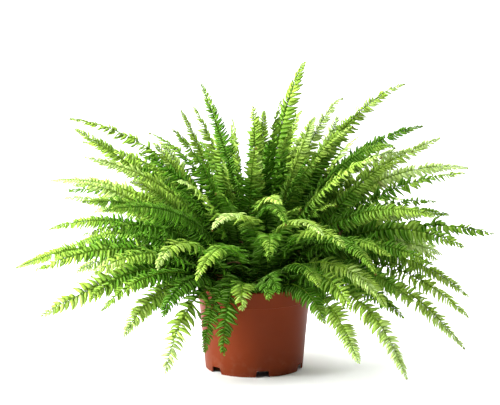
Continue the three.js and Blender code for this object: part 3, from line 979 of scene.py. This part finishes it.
def grow(bm, frond, forms, growth, pitch, number):
    """The leaflets of a frond, in two rows that alternate along its stem."""
    draw = series_of(number + LEAFLET_SERIES)
    spine = frond.spine
    stir = 0.35 + 1.1 * frond.lively
    pitch *= (frond.width / USUAL_WIDTH) ** 2
    pairs = max(LEAST_PAIRS, round(spine.length * (1 - LOWEST) / pitch))
    for k in range(2 * pairs):
        side = 1 if k % 2 else -1
        # Towards the tip the leaflets stand closer together.
        part = (k + 0.6) / (2 * pairs)
        t = part * (1.22 - 0.22 * part)
        if draw() < MISSING:
            continue
        place, forward, left, up = spine.at(LOWEST + (1 - LOWEST) * t)
        long = LENGTHEN * frond.width * leaflet_share(t) * (1 + spread(draw, 0.16))
        lean = 0.12 + 0.5 * t ** 4 + spread(draw, 0.3 * stir)
        droop = frond.droop * DEG + spread(draw, 0.7 * stir)
        out = left * side * math.cos(droop) - up * math.sin(droop) + forward * lean
        out.normalize()
        ahead = (forward - out * forward.dot(out)).normalized()
        above = out.cross(ahead) * -side
        twist = Matrix.Rotation(spread(draw, 1.3 * stir), 3, out)
        ahead.rotate(twist)
        above.rotate(twist)
        half = BREADTH * pitch * (0.45 + 0.55 * leaflet_share(t)) * (1 + spread(draw, 0.2))
        axes = (out * long, ahead * (half / LEAFLET_HALF), above * long)
        move = Matrix(axes).transposed().to_4x4()
        move.translation = place + out * 0.2
        form = forms[int(draw() * len(forms))][side > 0]
        copied = bmesh.ops.duplicate(bm, geom=form)["geom"]
        verts = [item for item in copied if isinstance(item, bmesh.types.BMVert)]
        bmesh.ops.transform(bm, matrix=move, verts=verts)
        chance = draw()
        for vert in verts:
            vert[growth] = (t, chance, frond.tone, vert[growth][3])


def leafy_mesh(frond, forms, pitch, number):
    """The leaflets of one frond as a mesh of their own, because a small bmesh grows fastest."""
    bm = bmesh.new()
    bm.loops.layers.uv.new("leaf")
    growth = bm.verts.layers.float_color.new("growth")
    listed = place_forms(bm, forms)
    patterns = bm.verts[:]
    grow(bm, frond, listed, growth, pitch, number)
    bmesh.ops.delete(bm, geom=patterns, context="VERTS")
    mesh = bpy.data.meshes.new("Leaflets")
    bm.to_mesh(mesh)
    bm.free()
    return mesh


def wall_radius(z):
    """Outer radius of the pot below its collar."""
    return FOOT_RADIUS + (WALL_TOP_RADIUS - FOOT_RADIUS) * z / (POT_HEIGHT - COLLAR_HEIGHT)


def drill_floor(pot):
    """Cuts the drain holes through the pot's floor."""
    bm = bmesh.new()
    for i in range(DRAINS):
        angle = (360 / DRAINS * i + DRAIN_TURN) * DEG
        place = (DRAIN_RING * math.cos(angle), DRAIN_RING * math.sin(angle), FLOOR_UNDERSIDE)
        bmesh.ops.create_cone(
            bm,
            cap_ends=True,
            segments=DRAIN_SIDES,
            radius1=DRAIN_RADIUS,
            radius2=DRAIN_RADIUS,
            depth=DRILL_LENGTH,
            matrix=Matrix.Translation(place),
        )
    drills = finished(bm, "Drills", [])
    cut = pot.modifiers.new("Drain holes", "BOOLEAN")
    cut.operation = "DIFFERENCE"
    cut.solver = "EXACT"
    cut.object = drills
    with bpy.context.temp_override(object=pot, active_object=pot, selected_objects=[pot]):
        bpy.ops.object.modifier_apply(modifier=cut.name)
    bpy.data.meshes.remove(drills.data)
    pot.data.set_sharp_from_angle(angle=SHARP * DEG)


class FernSettings(bpy.types.PropertyGroup):
    """Spacing, coiled tips and colours of the fern."""

    pitch: bpy.props.FloatProperty(
        name="Leaflet spacing",
        description="Distance between two leaflets on the same side of a frond",
        default=6.0 * MM,
        min=4 * MM,
        max=20 * MM,
        unit="LENGTH",
    )
    curled: bpy.props.FloatProperty(
        name="Coiled tips",
        description="Share of the fronds whose tip is still coiled",
        default=0.4,
        min=0,
        max=1,
        subtype="FACTOR",
    )
    # The old leaf colour also serves as painted shade at the frond bases and in the heart of the
    # plant.
    deep: bpy.props.FloatVectorProperty(
        name="Old leaf",
        description="Colour of the oldest leaflets, deep in the plant",
        default=(0.003, 0.026, 0.0006),
        subtype="COLOR",
        min=0,
        max=1,
    )
    middle: bpy.props.FloatVectorProperty(
        name="Grown leaf",
        description="Colour of the grown leaflets",
        default=(0.03, 0.12, 0.003),
        subtype="COLOR",
        min=0,
        max=1,
    )
    fresh: bpy.props.FloatVectorProperty(
        name="Young leaf",
        description="Colour of the young leaflets, near the tips",
        default=(0.36, 0.49, 0.07),
        subtype="COLOR",
        min=0,
        max=1,
    )


class PotSettings(bpy.types.PropertyGroup):
    """Colour of the pot."""

    colour: bpy.props.FloatVectorProperty(
        name="Pot colour",
        description="Colour of the moulded plastic",
        default=(0.14, 0.02, 0.0015),
        subtype="COLOR",
        min=0,
        max=1,
    )


class FERN_OT_pot(bpy.types.Operator):
    """Add the nursery pot, with its collar, drilled floor and notched foot"""

    bl_idname = "fern.pot"
    bl_label = "Pot"

    def execute(self, context):
        collar = POT_HEIGHT - COLLAR_HEIGHT
        floor = FLOOR_UNDERSIDE + FLOOR_THICKNESS
        profile = [
            (0, FLOOR_UNDERSIDE),
            (wall_radius(FLOOR_UNDERSIDE) - WALL - 1, FLOOR_UNDERSIDE),
            (wall_radius(FLOOR_UNDERSIDE) - WALL, FLOOR_UNDERSIDE - 0.8),
            (FOOT_RADIUS - WALL, 0.3),
            (FOOT_RADIUS - WALL + 0.3, 0),
            (FOOT_RADIUS - 0.5, 0),
            (FOOT_RADIUS, 0.5),
            (wall_radius(40), 40),
            (wall_radius(80), 80),
            (WALL_TOP_RADIUS - 0.1, collar - 1.2),
            (WALL_TOP_RADIUS + 0.3, collar - 0.3),
            (RIM_RADIUS - 1.2, collar),
            (RIM_RADIUS - 0.75, collar + 0.35),
            (RIM_RADIUS - 0.65, collar + 1),
            (RIM_RADIUS - 0.1, POT_HEIGHT - 2.6),
            (RIM_RADIUS, POT_HEIGHT - 1.4),
            (RIM_RADIUS - 0.4, POT_HEIGHT - 0.5),
            (RIM_RADIUS - 1.2, POT_HEIGHT),
            (RIM_RADIUS - 2.8, POT_HEIGHT),
            (RIM_RADIUS - 3.4, POT_HEIGHT - 0.7),
            (WALL_TOP_RADIUS - WALL, collar),
            (wall_radius(60) - WALL, 60),
            (wall_radius(floor) - WALL, floor + 1),
            (wall_radius(floor) - WALL - 1, floor),
            (0, floor),
        ]
        bm = spun(profile, POT_SIDES)
        half = NOTCH_WIDTH / 2 / FOOT_RADIUS
        for vert in bm.verts:
            angle = math.atan2(vert.co.y, vert.co.x) / DEG - NOTCH_TURN + 90
            away = (angle + 180 / NOTCHES) % (360 / NOTCHES) - 180 / NOTCHES
            if vert.co.z < FLOOR_UNDERSIDE - 1 and abs(away) * DEG < half:
                radius = math.hypot(vert.co.x, vert.co.y)
                grown = (wall_radius(NOTCH_HEIGHT) - FOOT_RADIUS + radius) / radius
                vert.co.x *= grown
                vert.co.y *= grown
                vert.co.z = NOTCH_HEIGHT + min(vert.co.z, 0.5) * 0.4
        plastic = pot_material(context.scene.pot_settings.colour)
        piece = finished(bm, "Nursery_pot", [plastic], SHARP)
        drill_floor(piece)
        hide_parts("pot")
        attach(piece, "root")
        return {"FINISHED"}


class FERN_OT_compost(bpy.types.Operator):
    """Add the compost, lumpy on top, with crumbs"""

    bl_idname = "fern.compost"
    bl_label = "Compost"

    def execute(self, context):
        inner = WALL_TOP_RADIUS - WALL - CLEARANCE
        bottom = FLOOR_UNDERSIDE + FLOOR_THICKNESS + CLEARANCE
        low = wall_radius(bottom) - WALL - CLEARANCE
        profile = [(0, bottom), (low, bottom), (inner, POT_HEIGHT - COLLAR_HEIGHT)]
        for i in range(COMPOST_RINGS, -1, -1):
            profile.append((inner * i / COMPOST_RINGS, SOIL_TOP - 1))
        bm = spun(profile, COMPOST_SIDES)
        for vert in bm.verts:
            if vert.co.z > SOIL_TOP - 2:
                lumps = 1.6 * noise.fractal(vert.co * 0.12, 0.8, 2.0, 4)
                grain = 0.9 * noise.noise(vert.co * 0.5)
                vert.co.z += lumps + grain
        draw = series_of(CRUMB_SERIES)
        for _ in range(CRUMBS):
            angle = 2 * math.pi * draw()
            radius = (inner - 4) * math.sqrt(draw())
            size = 0.8 + 2.4 * draw() ** 2
            place = Matrix.Translation((radius * math.cos(angle), radius * math.sin(angle), SOIL_TOP))
            stretch = Matrix.Diagonal((1 + draw(), 0.7 + 0.6 * draw(), 0.6 + 0.5 * draw(), 1))
            turn = Matrix.Rotation(6.3 * draw(), 4, "Z")
            move = place @ turn @ stretch
            bmesh.ops.create_icosphere(bm, subdivisions=1, radius=size, matrix=move)
        piece = finished(bm, "Compost_filling", [compost_material()])
        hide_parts("compost")
        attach(piece, "root")
        return {"FINISHED"}


class FERN_OT_fronds(bpy.types.Operator):
    """Add every frond, with its stem and leaflets, in place of its solid"""

    bl_idname = "fern.fronds"
    bl_label = "Fronds"

    def execute(self, context):
        settings = context.scene.fern_settings
        leaf = leaf_material(settings.deep, settings.middle, settings.fresh)
        materials = [leaf, stem_material()]
        forms = leaflet_forms()
        fronds, crowns = find_fronds()
        for node, members in crowns.items():
            bm = bmesh.new()
            bm.loops.layers.uv.new("leaf")
            growth = bm.verts.layers.float_color.new("growth")
            for frond in members:
                stem(bm, frond, growth, frond.curl < settings.curled)
            for face in bm.faces:
                face.material_index = 1
            for frond in members:
                mesh = leafy_mesh(frond, forms, settings.pitch / MM, fronds.index(frond))
                bm.from_mesh(mesh)
                bpy.data.meshes.remove(mesh)
            piece = finished(bm, node.replace("frond", "Fern_frond"), materials)
            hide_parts(node)
            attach(piece, "root")
        for pair in forms:
            for form in pair:
                bpy.data.meshes.remove(form)
        return {"FINISHED"}


class FERN_OT_stage(bpy.types.Operator):
    """Add the pale floor, the soft studio lights and the camera"""

    bl_idname = "fern.stage"
    bl_label = "Stage"

    def execute(self, context):
        bm = bmesh.new()
        bmesh.ops.create_circle(bm, cap_ends=True, segments=64, radius=FLOOR_RADIUS / MM)
        floor = finished(bm, "Floor", [floor_material()])
        world = context.scene.world or bpy.data.worlds.new("World")
        context.scene.world = world
        studio_world(world)
        context.scene.view_settings.view_transform = "Standard"
        for name, place, aim, size, energy in (
            ("Key", (-2.6, -0.5, 2.1), LIT_POINT, 2.0, 220),
            ("Side", (-2.6, -0.7, 0.5), LIT_POINT, 0.8, 120),
            ("Front", (0.4, -2.6, 2.4), LIT_POINT, 1.0, 4),
            ("Rim", (2.2, 1.0, 1.3), LIT_POINT, 1.0, 12),
            ("Sky", (0.1, 1.2, 3.2), LIT_POINT, 2.6, 175),
            ("Backdrop", (0, 7.5, 5), (0, 7.5, 0), 10, 470),
        ):
            light = bpy.data.lights.new(name, "AREA")
            light.size = size
            light.energy = energy
            lamp = bpy.data.objects.new(name, light)
            lamp.location = place
            backwards = Vector(place) - Vector(aim)
            lamp.rotation_euler = backwards.to_track_quat("Z", "Y").to_euler()
            context.scene.collection.objects.link(lamp)
        camera = bpy.data.cameras.new("Camera")
        camera.lens = CAMERA_LENS
        camera.sensor_width = 36
        eye = bpy.data.objects.new("Camera", camera)
        eye.location = CAMERA_PLACE
        eye.rotation_euler = ((90 - CAMERA_DOWN) * DEG, 0, 0)
        context.scene.collection.objects.link(eye)
        context.scene.camera = eye
        return {"FINISHED"}


class FERN_PT_panel(bpy.types.Panel):
    """Builds the fern piece by piece"""

    bl_label = "Potted fern"
    bl_idname = "FERN_PT_panel"
    bl_space_type = "VIEW_3D"
    bl_region_type = "UI"
    bl_category = "Fern"

    def draw(self, context):
        layout = self.layout
        for name in ("pitch", "curled", "deep", "middle", "fresh"):
            layout.prop(context.scene.fern_settings, name)
        layout.prop(context.scene.pot_settings, "colour")
        for operator in OPERATORS:
            layout.operator(operator.bl_idname)


OPERATORS = (FERN_OT_pot, FERN_OT_compost, FERN_OT_fronds, FERN_OT_stage)
CLASSES = (FernSettings, PotSettings, *OPERATORS, FERN_PT_panel)


def register():
    for cls in CLASSES:
        bpy.utils.register_class(cls)
    bpy.types.Scene.fern_settings = bpy.props.PointerProperty(type=FernSettings)
    bpy.types.Scene.pot_settings = bpy.props.PointerProperty(type=PotSettings)


def unregister():
    del bpy.types.Scene.pot_settings
    del bpy.types.Scene.fern_settings
    for cls in reversed(CLASSES):
        bpy.utils.unregister_class(cls)


def main():
    register()
    bpy.ops.fern.pot()
    bpy.ops.fern.compost()
    bpy.ops.fern.fronds()
    bpy.ops.fern.stage()


if __name__ == "__main__":
    main()
